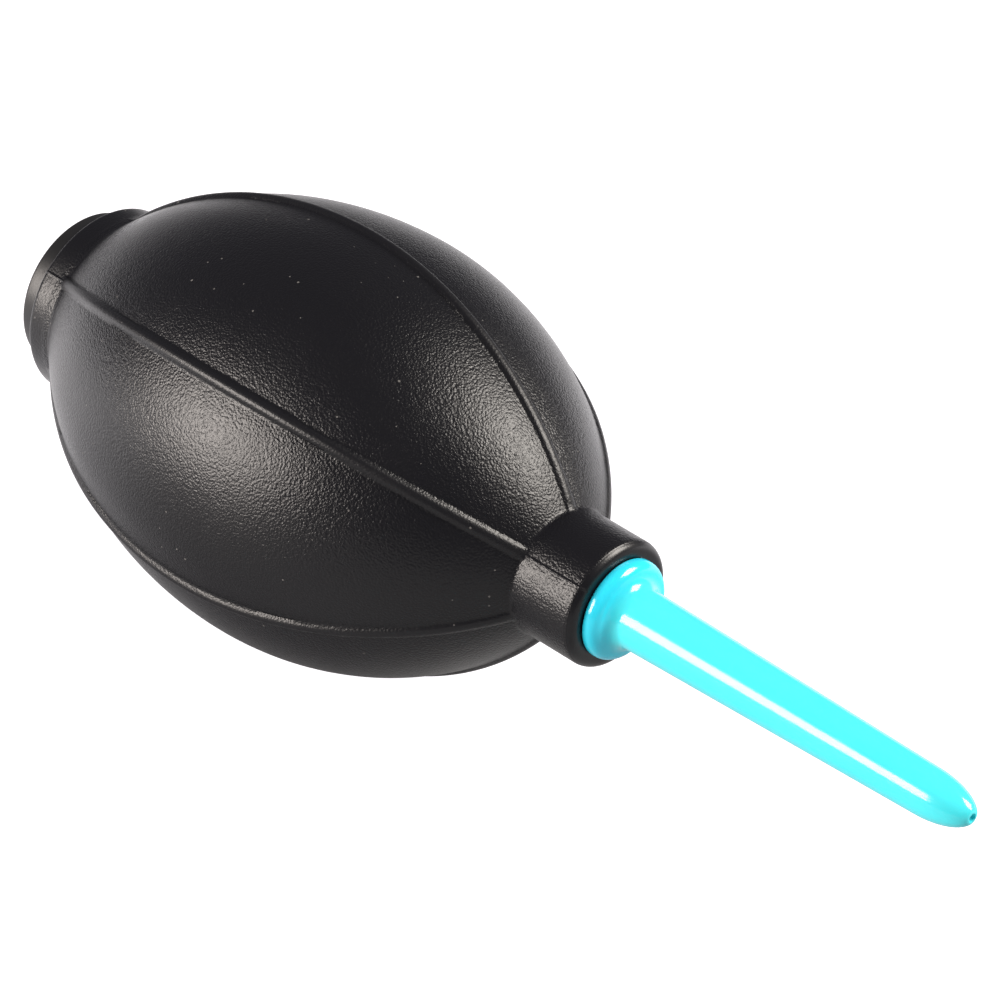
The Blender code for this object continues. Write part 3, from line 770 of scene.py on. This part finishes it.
def dust_group():
    """Sparse specks of dust and lint; each cell of a lattice holds one or none."""
    tree, given, result = new_tree("Dust specks", "ShaderNodeTree", [
        ("Place", "NodeSocketVector", (0.0, 0.0, 0.0)),
        ("Cells Per Metre", "NodeSocketFloat", 300.0),
        ("Share With Dust", "NodeSocketFloat", 0.1),
        ("Speck Size", "NodeSocketFloat", 0.06),
    ], [("Specks", "NodeSocketFloat")])
    cells = node(tree, "ShaderNodeTexVoronoi", {"feature": "F1"}, Vector=given["Place"],
                 Scale=given["Cells Per Metre"])
    chance = separate(tree, cells.outputs["Color"])
    chosen = calc(tree, "LESS_THAN", chance[0], given["Share With Dust"])
    size = calc(tree, "MULTIPLY", given["Speck Size"], calc(tree, "ADD", chance[1], 0.4))
    inside = calc(tree, "LESS_THAN", cells.outputs["Distance"], size)
    feed(tree, result["Specks"], calc(tree, "MULTIPLY", chosen, inside))
    return tree


def scratch_group():
    """Fine hairline scratches in patches, lying along one stretched direction."""
    tree, given, result = new_tree("Hairline scratches", "ShaderNodeTree", [
        ("Place", "NodeSocketVector", (0.0, 0.0, 0.0)),
        ("Turn", "NodeSocketVector", (0.0, 0.0, 0.0)),
        ("Lines Per Metre", "NodeSocketFloat", 900.0),
        ("Amount", "NodeSocketFloat", 0.5),
    ], [("Scratches", "NodeSocketFloat")])
    turned = node(tree, "ShaderNodeMapping", Vector=given["Place"], Rotation=given["Turn"],
                  Scale=(0.03, 1.0, 1.0))
    lines = node(tree, "ShaderNodeTexNoise", Vector=turned.outputs[0], Scale=given["Lines Per Metre"],
                 Detail=1.0)
    patches = node(tree, "ShaderNodeTexNoise", Vector=given["Place"], Scale=60.0, Detail=1.0)
    ridge = calc(tree, "ABSOLUTE", calc(tree, "SUBTRACT", lines.outputs["Fac"], 0.5))
    thin = ramp(tree, ridge, 0.0, 0.006, 1.0, 0.0)
    where = ramp(tree, patches.outputs["Fac"], 0.52, 0.64)
    scratches = calc(tree, "MULTIPLY", calc(tree, "MULTIPLY", thin, where), given["Amount"])
    feed(tree, result["Scratches"], scratches)
    return tree


def variation_group():
    """Slow cloudy variation round zero, for colour and gloss."""
    tree, given, result = new_tree("Cloudy variation", "ShaderNodeTree", [
        ("Place", "NodeSocketVector", (0.0, 0.0, 0.0)),
        ("Scale", "NodeSocketFloat", 80.0),
        ("Amount", "NodeSocketFloat", 0.1),
    ], [("Variation", "NodeSocketFloat")])
    noise = node(tree, "ShaderNodeTexNoise", Vector=given["Place"], Scale=given["Scale"], Detail=4.0)
    centred = calc(tree, "SUBTRACT", noise.outputs["Fac"], 0.5)
    feed(tree, result["Variation"], calc(tree, "MULTIPLY", centred, given["Amount"]))
    return tree


def placed_group(tree, group, **inputs):
    """A shader group placed in a material, with its inputs fed by name."""
    made = tree.nodes.new("ShaderNodeGroup")
    made.node_tree = group
    for label, value in inputs.items():
        feed(tree, made.inputs[label.replace("_", " ")], value)
    return made.outputs


def new_material(name):
    material = bpy.data.materials.new(name)
    material.use_nodes = True
    tree = material.node_tree
    shader = tree.nodes["Principled BSDF"]
    return material, tree, shader


def mixed_colour(tree, factor, first, second):
    made = node(tree, "ShaderNodeMix", {"data_type": "RGBA"})
    feed(tree, made.inputs["Factor"], factor)
    feed(tree, made.inputs[6], first)
    feed(tree, made.inputs[7], second)
    return made.outputs[2]


def clouded_colour(tree, cloud, first, second):
    """Colour that drifts between two shades with the cloudy variation."""
    return mixed_colour(tree, calc(tree, "ADD", cloud["Variation"], 0.5), first, second)


def bump(tree, height, strength, distance):
    made = node(tree, "ShaderNodeBump", Height=height, Strength=strength, Distance=distance)
    return made.outputs["Normal"]


def coat(tree, shader, colour, gloss, normal):
    """Feeds the shader's colour, roughness and normal."""
    feed(tree, shader.inputs["Base Color"], colour)
    feed(tree, shader.inputs["Roughness"], gloss)
    feed(tree, shader.inputs["Normal"], normal)


def surface_mask(tree, label):
    made = node(tree, "ShaderNodeAttribute", {"attribute_name": label, "attribute_type": "GEOMETRY"})
    return made.outputs["Fac"]


# ------------------------------------------------------------------ materials
def rubber_material(groups):
    """Black moulded rubber: pebbled panels, smoother ribs and edges, a little dust, and painted shade beside
    the ribs.
    """
    material, tree, shader = new_material("moulded_black_rubber")
    place = object_place(tree)
    grain = placed_group(tree, groups["grain"], Place=place, Cells_Per_Metre=RUBBER_GRAIN_CELLS,
                         Roughness_Of_Cells=0.6)
    dust = placed_group(tree, groups["dust"], Place=place, Cells_Per_Metre=700.0, Share_With_Dust=0.25,
                        Speck_Size=0.075)
    cloud = placed_group(tree, groups["variation"], Place=place, Scale=70.0, Amount=0.16)
    rib = surface_mask(tree, "rib")
    painted_rib_shade = surface_mask(tree, "painted_rib_shade")
    off_rib = calc(tree, "MULTIPLY_ADD", rib, -GRAIN_LOST_ON_RIBS, 1.0)
    grained = calc(tree, "MULTIPLY", surface_mask(tree, "grained"), off_rib)
    share = calc(tree, "MULTIPLY_ADD", grained, 1.0 - GRAIN_LEFT_ON_EDGES, GRAIN_LEFT_ON_EDGES)
    height = calc(tree, "MULTIPLY", grain["Height"], share)
    colour = mixed_colour(tree, calc(tree, "MULTIPLY", rib, 0.6), RUBBER, RUBBER_ON_RIBS)
    # painted shade beside each rib
    colour = mixed_colour(tree, calc(tree, "MULTIPLY", painted_rib_shade, 0.35), colour, RUBBER_PAINTED_RIB_SHADE)
    colour = mixed_colour(tree, calc(tree, "MULTIPLY", dust["Specks"], 0.55), colour, RUBBER_DUST)
    gloss = calc(tree, "ADD", RUBBER_ROUGHNESS, cloud["Variation"])
    gloss = calc(tree, "MULTIPLY_ADD", rib, 0.08, gloss)
    gloss = calc(tree, "MULTIPLY_ADD", dust["Specks"], 0.3, gloss)
    coat(tree, shader, colour, gloss, bump(tree, height, 0.8, RUBBER_GRAIN_DEPTH))
    shader.inputs["IOR"].default_value = 1.5
    shader.inputs["Specular IOR Level"].default_value = 0.45
    return material


def nozzle_material(groups):
    """Glossy cyan plastic with faint flow marks and hairlines, and painted shade on the bead: a deeper,
    bluer cyan there.
    """
    material, tree, shader = new_material("glossy_cyan_plastic")
    place = object_place(tree)
    cloud = placed_group(tree, groups["variation"], Place=place, Scale=120.0, Amount=0.5)
    scratches = placed_group(tree, groups["scratches"], Place=place, Turn=(0.0, 0.15, 0.1),
                             Lines_Per_Metre=700.0, Amount=0.5)
    dust = placed_group(tree, groups["dust"], Place=place, Cells_Per_Metre=380.0, Share_With_Dust=0.03,
                        Speck_Size=0.04)
    colour = clouded_colour(tree, cloud, NOZZLE_CYAN, NOZZLE_PALE_CYAN)
    # the bead is painted in the darker cyan as shade, which fades out along its hollow corner towards the
    # tube
    bead_end = BELLY_X + NECK_FACE + BEAD_ROUND + BEAD_HOLLOW
    bead_shade = ramp(tree, separate(tree, place)[0], bead_end - BEAD_HOLLOW, bead_end, NOZZLE_SHADE_SHARE, 0.0)
    colour = mixed_colour(tree, bead_shade, colour, NOZZLE_SHADED_CYAN)
    colour = mixed_colour(tree, calc(tree, "MULTIPLY", dust["Specks"], 0.3), colour, NOZZLE_DUST)
    gloss = calc(tree, "MULTIPLY_ADD", cloud["Variation"], 0.06, NOZZLE_ROUGHNESS)
    gloss = calc(tree, "MULTIPLY_ADD", scratches["Scratches"], 0.18, gloss)
    coat(tree, shader, colour, gloss, bump(tree, cloud["Variation"], 0.25, 0.0002))
    shader.inputs["IOR"].default_value = 1.6
    shader.inputs["Subsurface Weight"].default_value = 0.12
    shader.inputs["Subsurface Radius"].default_value = (0.2, 1.0, 1.0)
    shader.inputs["Subsurface Scale"].default_value = 0.0015
    return material


def plastic_material(groups, name):
    """Moulded plastic with a fine spark-eroded finish and a few hairlines."""
    colour, worn_colour, roughness, grain_cells, grain_depth = PLASTICS[name]
    material, tree, shader = new_material(name)
    place = object_place(tree)
    grain = placed_group(tree, groups["grain"], Place=place, Cells_Per_Metre=grain_cells,
                         Roughness_Of_Cells=0.8)
    cloud = placed_group(tree, groups["variation"], Place=place, Scale=150.0, Amount=0.5)
    scratches = placed_group(tree, groups["scratches"], Place=place, Turn=(0.3, 0.2, 0.9),
                             Lines_Per_Metre=1200.0, Amount=0.6)
    shade = clouded_colour(tree, cloud, colour, worn_colour)
    gloss = calc(tree, "MULTIPLY_ADD", cloud["Variation"], 0.15, roughness)
    gloss = calc(tree, "MULTIPLY_ADD", scratches["Scratches"], 0.15, gloss)
    coat(tree, shader, shade, gloss, bump(tree, grain["Height"], 0.5, grain_depth))
    return material


def silicone_material(groups):
    """Milky silicone of the inlet flap."""
    material, tree, shader = new_material("milky_silicone")
    place = object_place(tree)
    cloud = placed_group(tree, groups["variation"], Place=place, Scale=200.0, Amount=0.4)
    colour = clouded_colour(tree, cloud, SILICONE, SILICONE_PALE)
    gloss = calc(tree, "MULTIPLY_ADD", cloud["Variation"], 0.2, SILICONE_ROUGHNESS)
    coat(tree, shader, colour, gloss, bump(tree, cloud["Variation"], 0.3, 0.0002))
    return material


def floor_material():
    """Pale floor that looks white in a view and sends light up behind the blower."""
    material, tree, shader = new_material("pale_floor")
    shader.inputs["Base Color"].default_value = FLOOR_COLOUR
    shader.inputs["Roughness"].default_value = 0.9
    shader.inputs["Emission Color"].default_value = FLOOR_GLOW_COLOUR
    place = separate(tree, object_place(tree))
    behind = around(CAMERA_AZIMUTH + math.pi, 0.0)
    depth = calc(tree, "MULTIPLY_ADD", place[0], behind.x, calc(tree, "MULTIPLY", place[1], behind.y))
    near = ramp(tree, depth, GLOW_START, GLOW_FULL, 0.0, GLOW_STRENGTH)
    glow = calc(tree, "MULTIPLY", near, ramp(tree, depth, GLOW_FADE, GLOW_END, 1.0, GLOW_FAR_SHARE))
    eye = node(tree, "ShaderNodeLightPath")
    feed(tree, shader.inputs["Emission Strength"], calc(tree, "MAXIMUM", eye.outputs["Is Camera Ray"], glow))
    return material


def dress_node(name, material):
    """Gives a carried-over frame part its material."""
    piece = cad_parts[name]
    piece.data.materials.clear()
    piece.data.materials.append(material)


# ------------------------------------------------------------------ stage
def around(azimuth, elevation):
    """Unit vector from the object towards a view or a light."""
    return Vector((math.sin(azimuth) * math.cos(elevation), -math.cos(azimuth) * math.cos(elevation),
                   math.sin(elevation)))


def make_camera():
    lens = bpy.data.cameras.new("camera")
    lens.lens = LENS
    lens.sensor_width = 36.0
    lens.clip_start = 0.01
    lens.clip_end = 50.0
    camera = bpy.data.objects.new("camera", lens)
    back = around(CAMERA_AZIMUTH, CAMERA_ELEVATION)
    turn = (-back).to_track_quat("-Z", "Y").to_matrix() @ Matrix.Rotation(CAMERA_ROLL, 3, "Z")
    camera.matrix_world = Matrix.Translation(CAMERA_TARGET + back * CAMERA_DISTANCE) @ turn.to_4x4()
    bpy.context.scene.collection.objects.link(camera)
    bpy.context.scene.camera = camera


def make_floor():
    mesh = bmesh.new()
    bmesh.ops.create_grid(mesh, x_segments=1, y_segments=1, size=FLOOR_SIZE / 2)
    data = bpy.data.meshes.new("floor")
    mesh.to_mesh(data)
    mesh.free()
    floor = bpy.data.objects.new("floor", data)
    floor.location = (0.0, 0.0, CAD_BOX[0][2])
    data.materials.append(floor_material())
    bpy.context.scene.collection.objects.link(floor)


def make_softbox(name):
    azimuth, elevation, roll, distance, width, height, power, colour = SOFTBOXES[name]
    light = bpy.data.lights.new(name, "AREA")
    light.shape = "RECTANGLE"
    light.size = width
    light.size_y = height
    light.energy = power
    light.color = colour
    back = around(math.radians(azimuth), math.radians(elevation))
    turn = (-back).to_track_quat("-Z", "Y").to_matrix() @ Matrix.Rotation(math.radians(roll), 3, "Z")
    box = bpy.data.objects.new(name, light)
    box.matrix_world = Matrix.Translation(CAMERA_TARGET + back * distance) @ turn.to_4x4()
    bpy.context.scene.collection.objects.link(box)


def make_light():
    for name in SOFTBOXES:
        make_softbox(name)
    world = bpy.data.worlds.new("studio")
    world.use_nodes = True
    tree = world.node_tree
    sky = tree.nodes["Background"]
    sky.inputs["Color"].default_value = SKY_COLOUR
    sky.inputs["Strength"].default_value = SKY_STRENGTH
    backdrop = node(tree, "ShaderNodeBackground", Color=(1.0, 1.0, 1.0, 1.0), Strength=BACKDROP_STRENGTH)
    eye = node(tree, "ShaderNodeLightPath")
    mix = node(tree, "ShaderNodeMixShader")
    feed(tree, mix.inputs[0], eye.outputs["Is Camera Ray"])
    feed(tree, mix.inputs[1], sky.outputs[0])
    feed(tree, mix.inputs[2], backdrop.outputs[0])
    feed(tree, tree.nodes["World Output"].inputs["Surface"], mix.outputs[0])
    bpy.context.scene.world = world
    bpy.context.scene.view_settings.view_transform = "Standard"


def main():
    groups = {
        "grain": grain_group(), "dust": dust_group(), "scratches": scratch_group(),
        "variation": variation_group(),
    }
    rubber = rubber_material(groups)
    cyan = nozzle_material(groups)
    black = plastic_material(groups, "satin_black_plastic")
    natural = plastic_material(groups, "natural_plastic")
    silicone = silicone_material(groups)
    turned = turned_solid_tree()

    halves = make_bulb_halves(turned, rubber_detail_tree(), rubber)
    for half, (side, direction) in zip(halves, SQUEEZE_DIRECTIONS.items()):
        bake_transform(half)
        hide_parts("bulb_body", side + "_squeeze_wall")

    nozzle = make_nozzle(turned, cyan)
    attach(nozzle, "nozzle")
    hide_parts("nozzle")

    cover = make_cover(turned, perforation_tree(), black)
    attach(cover, "bulb")
    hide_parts("inlet_cover")

    dress_node("valve_body", natural)
    dress_node("valve_cage", natural)
    dress_node("valve_flap", silicone)
    make_floor()
    make_light()
    make_camera()


main()
